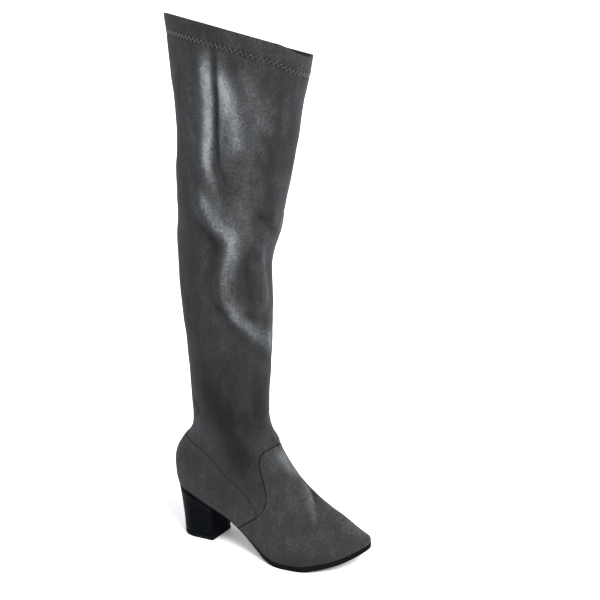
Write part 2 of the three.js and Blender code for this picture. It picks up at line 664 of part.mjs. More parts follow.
const postHeight = barHeight + SLIDER_BAR / 2 - SLIDER_PLATE / 2;
const posts = [-1, 1].map((side) =>
  manifoldOf(box(SLIDER_POST, SLIDER_BAR * 2, postHeight)
    .translate((side * (postGap + SLIDER_POST)) / 2, 0, SLIDER_PLATE / 2 + postHeight / 2)),
);
const sliderSolid = manifoldOf(plate(SLIDER_WIDTH, SLIDER_LENGTH, SLIDER_PLATE, SLIDER_WIDTH * 0.3))
  .add(posts[0])
  .add(posts[1])
  .add(manifoldOf(rod(SLIDER_BAR / 2, postGap + SLIDER_POST).translate(0, 0, barHeight)));
add('zip_slider', geometryOf(sliderSolid).applyMatrix4(sliderFrame), 'metal');

// The pull tab hangs plumb from the slider's bar
const tabHinge = new THREE.Vector3(0, 0, barHeight).applyMatrix4(sliderFrame);
const tabFrame = new THREE.Matrix4()
  .makeBasis(across, upright, across.clone().cross(upright))
  .setPosition(tabHinge);
const neckLength = SLIDER_BAR * 2 + TAB_PLATE * 1.5;
const tabBlade = TAB_LENGTH - neckLength;
const tabSolid = manifoldOf(rod(knuckleRadius, knuckleWidth))
  .add(manifoldOf(box(knuckleWidth, neckLength * 1.2, TAB_PLATE).translate(0, -neckLength * 0.6, 0)))
  .add(
    manifoldOf(
      plate(TAB_WIDTH, tabBlade, TAB_PLATE, TAB_WIDTH * 0.3)
        .translate(0, -neckLength - tabBlade / 2, -TAB_PLATE / 2),
    ),
  )
  .subtract(manifoldOf(rod(SLIDER_BAR / 2 + HINGE_PLAY, knuckleWidth * 2)));
add('zip_pull', geometryOf(tabSolid).applyMatrix4(tabFrame), 'metal');

export default boot;
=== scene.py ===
"""A right thigh high boot in dark grey suede, with a block heel and a zip at the inner ankle."""

import math

import bmesh
import bpy
import numpy as np
from mathutils import Matrix, Vector, noise
from mathutils.bvhtree import BVHTree


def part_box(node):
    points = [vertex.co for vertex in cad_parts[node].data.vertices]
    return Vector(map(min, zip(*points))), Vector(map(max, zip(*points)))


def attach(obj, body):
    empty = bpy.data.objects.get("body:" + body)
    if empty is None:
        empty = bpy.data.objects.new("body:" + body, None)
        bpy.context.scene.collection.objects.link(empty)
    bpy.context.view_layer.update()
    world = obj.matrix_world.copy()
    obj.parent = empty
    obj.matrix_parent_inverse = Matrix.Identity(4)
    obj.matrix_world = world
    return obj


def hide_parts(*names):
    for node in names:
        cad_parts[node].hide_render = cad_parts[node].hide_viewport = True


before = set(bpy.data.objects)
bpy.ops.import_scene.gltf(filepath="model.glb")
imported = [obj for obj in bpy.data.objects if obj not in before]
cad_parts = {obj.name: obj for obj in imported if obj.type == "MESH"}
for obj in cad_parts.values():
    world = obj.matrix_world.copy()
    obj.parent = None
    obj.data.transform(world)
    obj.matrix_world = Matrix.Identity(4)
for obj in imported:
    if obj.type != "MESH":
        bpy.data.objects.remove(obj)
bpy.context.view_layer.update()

MM = 0.001

# Sizes of the boot in millimetres. A stitch's is its distance from the edge or seam that it follows
FOOT_LENGTH = 245.0
ANKLE_HEIGHT = 150.0
HEEL_CENTRE = 26.668
COLLAR_GAP = 0.3
UPPER_WALL = 1.6
HEM_HEIGHT = 18.0
HEM_WALL = 0.9
HEM_STITCH = 18.5
VAMP_STITCH = 1.7
COUNTER_STITCH = 1.5
ZIP_STITCHES = (2.4, 8.2)
PANEL_GAP = 0.12
PANEL_WALL = 0.8
PANEL_TOP = 175.0
SHEET_ANGLE = math.radians(58)

# The cloth's relief in millimetres. Its wrinkles are also painted lighter on their crests and darker in their
# troughs as painted light and shade, none on the foot and fully on the shaft
FOLD_DEPTH = 1.9
WRINKLE_WIDTH = 17.0
WRINKLE_LENGTH = 44.0
WRINKLE_DEPTH = 0.5
WRINKLE_LIGHT_AND_SHADE = 0.35
RIPPLE_WIDTH = 55.0
RIPPLE_DEPTH = 0.8
GATHER_WIDTH = 2.6
GATHER_DEPTH = 0.45
LIGHT_AND_SHADE_START = 90.0
LIGHT_AND_SHADE_FULL = 200.0

# How far from an edge the relief starts and is whole, and the shares of its route where a strip does so
EDGE_FADES = [("collar_edge", 0, 16), ("slot_edge", 1, 10), ("feather_edge", 2, 14)]
STRIP_FADE = (-0.12, 0.2)

# Stitches in millimetres: how deep their ends sink, how high they stand and how thick the zigzag's thread is
STITCH_SINK = 0.25
STITCH_RISE = 0.06
ZIGZAG_RADIUS = 0.38

# The zip's closed teeth in millimetres, their width and shift from the middle as shares of the coil's width
TOOTH_PACE = 0.62
TOOTH_THICKNESS = 0.95
TOOTH_LENGTH = 0.8
TOOTH_WIDTH = 0.66
TOOTH_SHIFT = 0.17

# The camera stands in front of the outer side, a little above the collar. Its angles are in degrees: the
# heading turns it left from +Y, a tilt above nought raises its view, and a roll above nought leans it left
CAMERA_PLACE = (0.834, -1.1045, 0.6525)
CAMERA_HEADING = 31.89
CAMERA_TILT = -15.14
CAMERA_ROLL = -2.49
CAMERA_LENS = 75.34
SENSOR = 36.0


def place_camera():
    data = bpy.data.cameras.new("camera")
    data.sensor_width = SENSOR
    data.lens = CAMERA_LENS
    data.clip_start = 0.02
    data.clip_end = 200.0
    camera = bpy.data.objects.new("camera", data)
    heading = Matrix.Rotation(math.radians(CAMERA_HEADING), 4, "Z")
    tilt = Matrix.Rotation(math.radians(90 + CAMERA_TILT), 4, "X")
    roll = Matrix.Rotation(math.radians(CAMERA_ROLL), 4, "Z")
    camera.matrix_world = Matrix.Translation(CAMERA_PLACE) @ heading @ tilt @ roll
    bpy.context.collection.objects.link(camera)
    bpy.context.scene.camera = camera


def place_sun(name, source, strength, softness, colour):
    """A soft sun that shines from a direction, its softness in degrees."""
    data = bpy.data.lights.new(name, "SUN")
    data.energy = strength
    data.angle = math.radians(softness)
    data.color = colour
    light = bpy.data.objects.new(name, data)
    light.rotation_euler = Vector(source).to_track_quat("Z", "Y").to_euler()
    bpy.context.collection.objects.link(light)


def light_the_studio():
    place_sun("key_light", (1.0, -0.45, 0.9), strength=6.0, softness=30, colour=(1.0, 0.99, 0.97))
    place_sun("fill_light", (-0.5, -1.0, 1.1), strength=0.9, softness=60, colour=(0.92, 0.96, 1.0))
    world = bpy.data.worlds.new("studio")
    world.use_nodes = True
    background = world.node_tree.nodes["Background"]
    background.inputs["Color"].default_value = (1.0, 1.0, 1.0, 1)
    background.inputs["Strength"].default_value = 1.0
    bpy.context.scene.world = world
    bpy.context.scene.view_settings.view_transform = "Standard"


def lay_floor(material):
    bm = bmesh.new()
    bmesh.ops.create_circle(bm, cap_ends=True, segments=96, radius=40.0)
    floor = link_mesh("studio_floor", bm, material)


class Finish:
    """A node material with a few shorthands for its nodes."""

    def __init__(self, name, roughness, **sockets):
        self.material = bpy.data.materials.new(name)
        self.material.use_nodes = True
        self.tree = self.material.node_tree
        self.shader = self.tree.nodes["Principled BSDF"]
        self.set(self.shader, "Roughness", roughness)
        for socket, value in sockets.items():
            self.set(self.shader, socket.replace("_", " "), value)
        self.place = self.node("ShaderNodeTexCoord").outputs["Object"]

    def set(self, node, socket, value):
        node.inputs[socket].default_value = value

    def node(self, kind, **settings):
        node = self.tree.nodes.new(kind)
        for key, value in settings.items():
            setattr(node, key, value)
        return node

    def link(self, out, node, socket):
        self.tree.links.new(out, node.inputs[socket])

    def stretched(self, scale, turn=(0, 0, 0)):
        mapping = self.node("ShaderNodeMapping")
        self.link(self.place, mapping, "Vector")
        self.set(mapping, "Scale", scale)
        self.set(mapping, "Rotation", turn)
        return mapping.outputs["Vector"]

    def noise(self, scale, detail, roughness, where=None):
        node = self.node("ShaderNodeTexNoise")
        self.set(node, "Scale", scale)
        self.set(node, "Detail", detail)
        self.set(node, "Roughness", roughness)
        self.link(where or self.place, node, "Vector")
        return node.outputs["Fac"]

    def ramp(self, value, *stops):
        node = self.node("ShaderNodeValToRGB")
        ramp = node.color_ramp
        while len(ramp.elements) < len(stops):
            ramp.elements.new(0.5)
        for element, (at, tone) in zip(ramp.elements, stops):
            element.position = at
            colour = tone if isinstance(tone, tuple) else (tone, tone, tone)
            element.color = (*colour, 1)
        self.link(value, node, "Fac")
        return node.outputs["Color"]

    def math(self, operation, a, b):
        node = self.node("ShaderNodeMath", operation=operation)
        for index, value in enumerate((a, b)):
            if isinstance(value, (int, float)):
                node.inputs[index].default_value = value
            else:
                self.tree.links.new(value, node.inputs[index])
        return node.outputs[0]

    def mix(self, factor, a, b):
        node = self.node("ShaderNodeMix", data_type="RGBA", blend_type="MIX")
        for index, value in ((0, factor), (6, a), (7, b)):
            if isinstance(value, tuple):
                node.inputs[index].default_value = (*value, 1)
            elif isinstance(value, (int, float)):
                node.inputs[index].default_value = value
            else:
                self.tree.links.new(value, node.inputs[index])
        return node.outputs[2]

    def total(self, start, *shares):
        """A start value plus each value times its share."""
        for value, share in shares:
            node = self.node("ShaderNodeMath", operation="MULTIPLY_ADD")
            self.tree.links.new(value, node.inputs[0])
            node.inputs[1].default_value = share
            if isinstance(start, float):
                node.inputs[2].default_value = start
            else:
                self.tree.links.new(start, node.inputs[2])
            start = node.outputs[0]
        return start

    def between(self, value, low, high):
        """0 where the value is under low, 1 where it is over high."""
        node = self.node("ShaderNodeMapRange", interpolation_type="SMOOTHSTEP")
        self.link(value, node, "Value")
        self.set(node, "From Min", low)
        self.set(node, "From Max", high)
        return node.outputs["Result"]

    def attribute(self, name):
        return self.node("ShaderNodeAttribute", attribute_name=name).outputs["Fac"]

    def colour(self, value):
        self.link(value, self.shader, "Base Color")

    def bump(self, *layers):
        """Bumps one after another, each a height, its strength and its depth in millimetres."""
        before = None
        for height, strength, depth in layers:
            node = self.node("ShaderNodeBump")
            self.set(node, "Strength", strength)
            self.set(node, "Distance", depth * MM)
            self.link(height, node, "Height")
            if before:
                self.link(before, node, "Normal")
            before = node.outputs["Normal"]
        self.link(before, self.shader, "Normal")


# The cloth's colour from its deepest painted shade through its own grey to its brightest painted light: tone
# and colour
SUEDE_TONES = [
    (0.0, (0.006, 0.0062, 0.0066)),
    (0.42, (0.0178, 0.0181, 0.0185)),
    (0.68, (0.037, 0.0385, 0.0405)),
    (0.88, (0.077, 0.081, 0.088)),
    (1.05, (0.135, 0.144, 0.158)),
]
# The dark of the seam ink and of the painted shade in the seams' gaps
SEAM_INK_AND_SHADE = (0.0035, 0.0037, 0.0042)

# How dark the cloth is painted along its seams, as ink and as painted shade in the seam's gap: the seam, the
# strength of that darkening and how far it reaches
SHAFT_SEAMS = [("hem_seam", 0.45, 4.5), ("vamp_seam", 0.85, 1.3), ("counter_seam", 0.3, 1.2)]
PANEL_SEAMS = [("vamp_seam", 0.9, 1.4), ("counter_seam", 0.35, 1.2)]


def suede_finish(name, shade, seams):
    """Suede cloth with random mottling, painted light and shade along its folds and edges, and dark ink with
    painted shade along its seams.
    """
    suede = Finish(name, 0.95, Specular_IOR_Level=0.05, Sheen_Weight=0.06, Sheen_Roughness=0.5)
    suede.set(suede.shader, "Sheen Tint", (0.8, 0.88, 1.0, 1))
    patches = suede.noise(24, 4, 0.6)
    brushed = suede.noise(95, 5, 0.65, suede.stretched((1.0, 1.0, 0.45), (0.2, 0.1, 0.3)))
    speckle = suede.noise(420, 3, 0.7)
    fibres = suede.noise(1500, 2, 0.6)
    # Painted light and shade along the folds, edges and wrinkles, kept on the skin
    painted_light = suede.attribute("painted_light")
    tone = suede.total(-0.315, (patches, 0.36), (brushed, 0.45), (speckle, 0.66), (painted_light, 0.3))
    lightest = SUEDE_TONES[-1][0]
    stops = [(at / lightest, tuple(part * shade for part in colour)) for at, colour in SUEDE_TONES]
    cloth = suede.ramp(suede.math("DIVIDE", tone, lightest), *stops)
    # Dark ink with painted shade along each seam
    for seam, strength, reach in seams:
        distance = suede.math("ABSOLUTE", suede.attribute(seam), 0.0)
        ink_and_shade = suede.total(strength, (suede.between(distance, 0.2 * reach, reach), -strength))
        cloth = suede.mix(ink_and_shade, cloth, SEAM_INK_AND_SHADE)
    suede.colour(cloth)
    waves = suede.noise(34, 4, 0.55, suede.stretched((1.0, 1.0, 0.55), (0.15, 0.2, 0.1)))
    creases = suede.math("ABSOLUTE", suede.total(-0.5, (waves, 1.0)), 0.0)
    suede.bump((creases, 0.45, 4.0), (brushed, 0.4, 0.7), (speckle, 0.6, 0.35), (fibres, 0.3, 0.1))
    return suede.material


def lining_finish():
    lining = Finish("lining_cloth", 0.95, Specular_IOR_Level=0.08, Sheen_Weight=0.04)
    weave = lining.noise(1500, 2, 0.5)
    patches = lining.noise(30, 3, 0.5)
    lining.colour(lining.ramp(patches, (0.3, (0.012, 0.012, 0.013)), (0.75, (0.021, 0.021, 0.023))))
    lining.bump((weave, 0.3, 0.15))
    return lining.material


def sole_finish():
    sole = Finish("sole_rubber", 0.6, Specular_IOR_Level=0.015)
    grain = sole.noise(700, 3, 0.5)
    scuffs = sole.noise(45, 5, 0.7, sole.stretched((0.3, 1.0, 1.0)))
    sole.colour(sole.ramp(scuffs, (0.35, (0.0022, 0.0025, 0.0029)), (0.8, (0.0048, 0.0051, 0.0058))))
    sole.link(sole.ramp(scuffs, (0.3, 0.42), (0.8, 0.66)), sole.shader, "Roughness")
    sole.bump((grain, 0.22, 0.12))
    return sole.material


def heel_finish():
    heel = Finish("heel_black", 0.5, Specular_IOR_Level=0.01)
    grain = heel.noise(420, 3, 0.5)
    smears = heel.noise(18, 3, 0.6)
    heel.colour(heel.ramp(smears, (0.3, (0.0009, 0.0013, 0.0024)), (0.8, (0.0018, 0.0024, 0.0038))))
    heel.link(heel.ramp(smears, (0.3, 0.38), (0.75, 0.52)), heel.shader, "Roughness")
    heel.bump((grain, 0.12, 0.08))
    return heel.material


def thread_finish(name, tone):
    thread = Finish(name, 0.8, Specular_IOR_Level=0.3, Sheen_Weight=0.2)
    twist = thread.noise(2600, 2, 0.5)
    thread.colour(thread.ramp(twist, (0.3, tuple(c * 0.7 for c in tone)), (0.7, tone)))
    thread.bump((twist, 0.4, 0.1))
    return thread.material


def tape_finish():
    tape = Finish("zip_tape_cloth", 0.85, Specular_IOR_Level=0.2, Sheen_Weight=0.25)
    ribs = tape.noise(1300, 2, 0.4, tape.stretched((1.0, 1.0, 0.35)))
    tape.colour(tape.ramp(ribs, (0.3, (0.009, 0.009, 0.0105)), (0.7, (0.021, 0.021, 0.024))))
    tape.bump((ribs, 0.5, 0.2))
    return tape.material


def metal_finish():
    metal = Finish("dark_nickel", 0.32, Metallic=1.0)
    wear = metal.noise(160, 4, 0.6)
    metal.colour(metal.ramp(wear, (0.3, (0.045, 0.047, 0.051)), (0.75, (0.09, 0.092, 0.097))))
    metal.link(metal.ramp(wear, (0.3, 0.26), (0.8, 0.45)), metal.shader, "Roughness")
    metal.bump((wear, 0.08, 0.05))
    return metal.material


def floor_finish():
    floor = Finish("studio_paper", 0.9, Specular_IOR_Level=0.1)
    tooth = floor.noise(4, 2, 0.5)
    floor.colour(floor.ramp(tooth, (0.3, (0.86, 0.865, 0.87)), (0.7, (0.875, 0.88, 0.885))))
    return floor.material


def link_mesh(name, bm, *materials, smooth=True):
    """The finished bmesh as an object at the origin."""
    mesh = bpy.data.meshes.new(name)
    bm.to_mesh(mesh)
    bm.free()
    for material in materials:
        mesh.materials.append(material)
    if smooth:
        mesh.polygons.foreach_set("use_smooth", [True] * len(mesh.polygons))
    piece = bpy.data.objects.new(name, mesh)
    bpy.context.collection.objects.link(piece)
    return piece


def part_of_boot(piece, slot, *nodes, body="boot"):
    if nodes:
        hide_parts(*nodes)
    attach(piece, body)
    return piece


def node_copy(node):
    """A merged copy of a CAD node's mesh, its triangles paired into quads again."""
    bm = bmesh.new()
    bm.from_mesh(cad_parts[node].data)
    bmesh.ops.remove_doubles(bm, verts=bm.verts, dist=0.02 * MM)
    bmesh.ops.join_triangles(
        bm, faces=bm.faces, angle_face_threshold=math.radians(60), angle_shape_threshold=math.radians(75),
    )
    return bm


def catmull_clark(bm, levels):
    """A subdivided copy of the bmesh, its creased edges kept."""
    mesh = bpy.data.meshes.new("rough")
    bm.to_mesh(mesh)
    rough = bpy.data.objects.new("rough", mesh)
    bpy.context.collection.objects.link(rough)
    finer = rough.modifiers.new("finer", "SUBSURF")
    finer.levels = levels
    finer.render_levels = levels
    bpy.context.view_layer.update()
    done = rough.evaluated_get(bpy.context.evaluated_depsgraph_get())
    fine = bmesh.new()
    fine.from_mesh(done.to_mesh())
    done.to_mesh_clear()
    bpy.data.objects.remove(rough)
    bpy.data.meshes.remove(mesh)
    return fine


def subdivided(bm, levels):
    """The bmesh made smooth, drawn out first so that the smooth surface still passes through its points."""
    bm.verts.ensure_lookup_table()
    aims = [vert.co.copy() for vert in bm.verts]
    for _ in range(3):
        fine = catmull_clark(bm, 1)
        fine.verts.ensure_lookup_table()
        for vert, aim, reached in zip(bm.verts, aims, fine.verts):
            vert.co += aim - reached.co
        fine.free()
    fine = catmull_clark(bm, levels)
    bm.free()
    return fine


def crease_sharp_edges(bm, angle, sharpness):
    layer = bm.edges.layers.float.get("crease_edge") or bm.edges.layers.float.new("crease_edge")
    for edge in bm.edges:
        if edge.is_boundary or edge.calc_face_angle(0) > math.radians(angle):
            edge[layer] = sharpness


def outer_sheet(bm):
    """Keeps only the outside sheet of a thin closed wall."""
    bm.faces.ensure_lookup_table()
    start = max(bm.faces, key=lambda face: -face.calc_center_median().y)
    kept = {start}
    waiting = [start]
    while waiting:
        face = waiting.pop()
        for edge in face.edges:
            if len(edge.link_faces) != 2 or edge.calc_face_angle(0) > SHEET_ANGLE:
                continue
            for other in edge.link_faces:
                if other not in kept:
                    kept.add(other)
                    waiting.append(other)
    spare = [face for face in bm.faces if face not in kept]
    bmesh.ops.delete(bm, geom=spare, context="FACES")
    return bm


def points_of(bm):
    bm.verts.ensure_lookup_table()
    return np.array([vert.co for vert in bm.verts]) / MM


# Folds of the cloth in millimetres: name, width to the left and right of a route as seen from outside along
# it, height, which FOLD_DEPTH deepens, and a few places that the route passes, which are dropped on the skin
FOLDS = [
    ("stripe_crest", 8, 4.5, 2.3,
     [(85, -65, 575), (83, -65, 545), (82, -60, 515), (78, -60, 485), (74, -55, 455), (76, -55, 430)]),
    ("stripe_trough", 3, 4, -1.9,
     [(99, -65, 570), (96, -60, 530), (92, -60, 500), (88, -55, 475), (88, -55, 450), (94, -50, 420)]),
    ("second_crest", 7, 7, 1.3, [(98, -65, 550), (102, -60, 525), (104, -55, 500), (100, -50, 465)]),
    ("second_trough", 7, 7, -1.1, [(112, -60, 555), (118, -55, 520), (118, -50, 490), (111, -45, 460)]),
    ("back_swell", 6, 6, 0.7, [(70, -65, 580), (65, -60, 550)]),
    ("front_crest", 3.5, 3.5, 0.9, [(128, -40, 475), (130, -35, 465), (132, -30, 450)]),
    ("front_trough", 4, 4, -0.9, [(126, -40, 485), (127, -40, 470), (128, -35, 455)]),
    ("knee_crease", 4, 4, -1.8, [(115, -30, 400), (120, -20, 390), (120, -10, 380), (114, 10, 365)]),
    ("knee_swell", 17, 17, 1.0,
     [(80, -50, 425), (90, -45, 390), (90, -40, 360), (80, -40, 325), (80, -40, 300)]),
    ("curl_crest", 4.5, 8, 2.1,
     [(56, -50, 407), (72, -50, 382), (80, -45, 374), (83, -40, 362), (79, -40, 345), (72, -42, 322),
      (74, -42, 303), (80, -39, 293), (84, -35, 281), (96, -22, 262), (101, -5, 245)]),
    ("curl_trough", 6, 3.5, -1.1,
     [(48, -50, 397), (60, -50, 384), (73, -45, 366), (70, -45, 345), (63, -45, 320), (65, -45, 300),
      (74, -40, 288), (78, -38, 273), (88, -30, 260), (95, -20, 248)]),
    ("knee_dent", 10, 9, -3.4, [(103, -25, 360), (99, -25, 335), (98, -25, 310), (100, -20, 290)]),
    ("dent_rim", 4, 4, 1.6, [(108, -15, 360), (104, -13, 335), (104, -13, 300), (100, -20, 286)]),
    ("dent_corner", 4, 4, -1.0, [(82, -40, 325), (86, -35, 308)]),
    ("dent_foot", 4, 4, -1.5, [(94, -30, 288), (98, -22, 280), (101, -15, 279)]),
    ("shin_notch", 3, 3, -1.1, [(103, -12, 279), (104, 0, 274)]),
    ("shin_swell", 8, 8, 1.1, [(103, 0, 265), (101, 0, 240)]),
    ("shin_hollow", 6, 6, -1.1, [(97, -17, 240), (100, -5, 232), (98, 10, 226)]),
    ("ankle_crescent", 3, 3, 0.6, [(45, -36, 154), (60, -34, 145), (74, -30, 146), (83, -24, 150)]),
    ("achilles_crease", 3, 3, -0.9, [(22, -30, 180), (28, -35, 163)]),
    ("throat_pleat", 2.8, 2.8, 1.6, [(97, 6, 137), (100, 10, 127)]),
    ("throat_pleat_low", 2.4, 2.4, 1.4, [(100, 1, 130), (105, 5, 121)]),
    ("vamp_crest", 4, 4, 1.6, [(134, 5, 85), (150, -4, 72), (156, -12, 65), (167, -20, 54)]),
    ("vamp_trough", 4, 4, -1.6, [(141, 10, 79), (148, 8, 72), (159, -4, 66)]),
    ("inner_long_crest", 10, 10, 2.6, [(50, 50, 575), (80, 55, 480), (100, 50, 430), (110, 20, 345)]),
    ("inner_long_trough", 8, 8, -1.6, [(75, 60, 560), (90, 60, 510), (105, 55, 460), (110, 40, 420)]),
    ("inner_upper_crest", 9, 9, 1.4, [(95, 60, 560), (110, 50, 520), (115, 40, 480)]),
    ("inner_knee_trough", 7, 7, -1.5, [(70, 50, 440), (90, 45, 395), (100, 35, 355)]),
    ("inner_zip_fold", 5, 5, 1.2, [(60, 50, 246), (75, 45, 236), (88, 35, 231)]),
    ("inner_ankle_trough", 6, 6, -1.1, [(20, 30, 190), (35, 40, 170), (45, 40, 158)]),
    ("inner_pleat", 3, 3, 1.0, [(96, 20, 136), (102, 18, 124)]),
    ("back_knee_fold", 9, 9, -0.7, [(10, -30, 395), (10, 0, 388), (15, 30, 398)]),
    ("back_knee_swell", 10, 10, 0.4, [(10, -30, 375), (10, 0, 368), (10, 15, 372)]),
]

# Painted light (+) and painted shade (-) on the cloth, along its folds, edges and lower parts: name, width to
# the left and right, tone, and the route
LIGHT_AND_SHADE_STROKES = [
    ("stripe_light", 8.5, 4.4, 1.8,
     [(91, -65, 575), (89, -65, 545), (87, -60, 515), (82, -60, 485), (77, -55, 455), (81, -50, 430)]),
    ("stripe_dark", 2.0, 1.8, -1.2,
     [(97, -65, 570), (95, -60, 530), (91, -60, 500), (88, -55, 475), (87, -55, 450)]),
    ("crease_light", 2.5, 8, 1.0,
     [(102, -65, 560), (100, -60, 530), (97, -60, 505), (94, -55, 480), (92, -55, 450)]),
    ("second_light", 9, 8, 1.0, [(101, -60, 552), (107, -55, 520), (111, -50, 490), (107, -50, 465)]),
    ("thigh_wide_light", 24, 24, 0.6, [(115, -60, 555), (120, -55, 505), (115, -50, 455)]),
    ("mid_light", 7, 7, 0.4, [(130, -50, 535), (135, -40, 510), (140, -30, 480)]),
    ("front_light", 3.5, 3.5, 0.5, [(128, -40, 475), (130, -35, 465), (132, -30, 450)]),
    ("thigh_light", 12, 12, 0.5, [(110, -45, 435), (105, -40, 415), (105, -35, 385)]),
    ("knee_light", 5, 18, 1.25,
     [(62, -55, 427), (68, -50, 409), (75, -50, 390), (87, -42, 375), (88, -38, 359), (83, -40, 342)]),
    ("curl_light", 4, 11, 1.1,
     [(84, -40, 359), (79, -40, 337), (76, -40, 315), (79, -40, 300), (87, -35, 280), (96, -25, 266),
      (101, -10, 250), (101, 0, 239)]),
    ("curl_dark", 8, 3, -0.45,
     [(48, -50, 397), (60, -50, 384), (73, -45, 366), (69, -45, 345), (62, -45, 320), (65, -45, 300),
      (73, -40, 288), (77, -38, 273), (86, -30, 260), (94, -20, 248)]),
    ("rim_light", 3.0, 4.0, 0.9, [(111, -8, 359), (106, -4, 331), (105, -2, 300), (104, -9, 286)]),
    ("knee_right", 4, 4, 0.4, [(127, -10, 405), (122, -5, 385)]),
    ("knee_dark", 4, 4, -0.8, [(115, -30, 400), (120, -20, 390), (120, -10, 380), (114, 10, 365)]),
    ("dent_dark", 9, 6, -0.7, [(103, -25, 360), (99, -25, 335), (101, -20, 291)]),
    ("dent_foot_dark", 4, 4, -0.7, [(94, -30, 288), (98, -22, 280), (101, -15, 279)]),
    ("notch_dark", 3, 3, -0.5, [(103, -12, 279), (104, 0, 274)]),
    ("shin_low_dark", 13, 16, -0.9, [(95, -10, 220), (90, -10, 160), (95, -10, 140)]),
    ("knee_front_dark", 6, 6, -0.5, [(124, -20, 432), (123, -15, 405), (117, -8, 378)]),
    ("shin_light", 5, 8, 0.9, [(103, 0, 264), (101, 2, 238)]),
    ("shin_dark", 6, 6, -0.5, [(97, -17, 240), (100, -5, 232), (98, 10, 226)]),
    ("edge_light", 3, 3, 0.3, [(97, 7, 210), (95, 8, 140)]),
    ("front_dark", 8, 8, -0.15, [(155, -30, 545), (145, -25, 505), (135, -25, 455), (127, -20, 415)]),
    ("back_dark", 8, 8, -0.45, [(45, -55, 560), (40, -50, 505), (30, -45, 455), (25, -40, 400)]),
    ("lower_back_dark", 26, 26, -0.5, [(30, -45, 350), (35, -40, 255), (40, -35, 195)]),
    ("lower_front_dark", 24, 20, -0.6, [(75, -35, 240), (80, -30, 180), (80, -25, 150)]),
    ("ankle_dark", 19, 19, -1.3,
     [(40, -40, 215), (50, -35, 180), (65, -35, 150), (75, -35, 120), (85, -40, 90)]),
    ("counter_dark", 24, 24, -0.4, [(-10, -25, 120), (15, -35, 100), (45, -40, 80), (70, -35, 55)]),
    ("sole_edge_dark", 9, 9, -0.5,
     [(70, -30, 20), (100, -40, 10), (160, -40, 10), (190, -32, 16), (208, -16, 22)]),
    ("toe_light", 10, 10, 0.6, [(190, 5, 50), (205, 5, 43), (215, 3, 35)]),
    ("vamp_top_light", 7, 7, 1.0, [(107, 6, 117), (118, 9, 100), (131, 5, 87)]),
    ("instep_light", 8, 8, 0.9, [(106, 0, 121), (114, 0, 108), (125, 0, 95)]),
    ("vamp_fold_light", 4, 4, 1.0, [(134, 5, 85), (150, -4, 72), (156, -12, 65), (167, -20, 54)]),
    ("vamp_fold_dark", 4, 4, -0.9, [(141, 10, 79), (148, 8, 72), (159, -4, 66)]),
    ("pleat_light", 2.5, 2.5, 1.2, [(97, 6, 137), (100, 10, 127)]),
    ("hem_front_light", 6, 6, 0.4, [(163, 5, 558), (163, 0, 548)]),
    ("inner_long_light", 10, 10, 0.9, [(50, 55, 575), (85, 55, 480), (100, 50, 430), (110, 20, 345)]),
    ("inner_long_dark", 8, 8, -0.5, [(75, 60, 560), (90, 60, 510), (105, 55, 460), (110, 40, 420)]),
    ("inner_upper_light", 8, 8, 0.35, [(97, 60, 560), (110, 50, 520), (118, 40, 480)]),
    ("inner_knee_dark", 7, 7, -0.5, [(68, 50, 440), (86, 45, 395), (96, 35, 355)]),
    ("inner_zip_light", 5, 5, 0.3, [(60, 50, 246), (75, 45, 236), (88, 35, 231)]),
    ("inner_shin_dark", 14, 14, -0.4, [(50, 45, 320), (55, 40, 215)]),
]


def smoothstep(value, low, high):
    k = np.clip((value - low) / (high - low), 0, 1)
    return k * k * (3 - 2 * k)


def spline(points, steps=6):
    """A smooth line through the points."""
    p = np.array(points, dtype=float)
    ends = np.vstack([2 * p[0] - p[1], p, 2 * p[-1] - p[-2]])
    out = []
    for i in range(len(p) - 1):
        a, b, c, d = ends[i : i + 4]
        for t in np.arange(steps) / steps:
            out.append(0.5 * (2 * b + (c - a) * t + (2 * a - 5 * b + 4 * c - d) * t**2
                              + (3 * b - a - 3 * c + d) * t**3))
    return np.array(out + [p[-1]])


def along_route(points, route):
    """Distance to a route, the share of it travelled, and the way off and along it at the nearest place."""
    best = np.full(len(points), 1e9)
    share = np.zeros(len(points))
    off = np.zeros_like(points)
    along = np.zeros_like(points)
    steps = np.linalg.norm(np.diff(route, axis=0), axis=1)
    travelled = np.concatenate([[0], np.cumsum(steps)]) / steps.sum()
    for i, (a, b) in enumerate(zip(route, route[1:])):
        t = np.clip((points - a) @ (b - a) / max((b - a) @ (b - a), 1e-9), 0, 1)
        away = points - (a + t[:, None] * (b - a))
        distance = np.linalg.norm(away, axis=1)
        nearer = distance < best
        best[nearer] = distance[nearer]
        share[nearer] = travelled[i] + t[nearer] * (travelled[i + 1] - travelled[i])
        off[nearer] = away[nearer]
        along[nearer] = b - a
    return best, share, off, along


def dropped(route, skin):
    """The smooth line through a route's places, laid down on the skin."""
    return np.array([skin.find_nearest(Vector(place) * MM)[0] for place in spline(route)]) / MM


def laid(strips, skin, points, normals):
    """The sum of a table's soft strips at each point: folds give millimetres, strokes a tone of painted light
    and shade.
    """
    total = np.zeros(len(points))
    for _, left, right, strength, route in strips:
        distance, share, off, along = along_route(points, dropped(route, skin))
        width = np.where((np.cross(along, normals) * off).sum(axis=1) > 0, left, right)
        fade = smoothstep(share, *STRIP_FADE) * smoothstep(1 - share, *STRIP_FADE)
        total += strength * np.exp(-((distance / width) ** 2)) * fade
    return total


def boundary_loops(bm):
    """The open edges of a sheet as ordered loops of vertices, the highest loop first."""
    left = {edge for edge in bm.edges if edge.is_boundary}
    loops = []
    while left:
        edge = left.pop()
        loop = [edge.verts[0], edge.verts[1]]
        while True:
            step = next((e for e in loop[-1].link_edges if e in left), None)
            if step is None:
                break
            left.discard(step)
            loop.append(step.other_vert(loop[-1]))
        loops.append(loop[:-1] if loop[0] == loop[-1] else loop)
    return sorted(loops, key=lambda loop: -max(vert.co.z for vert in loop))


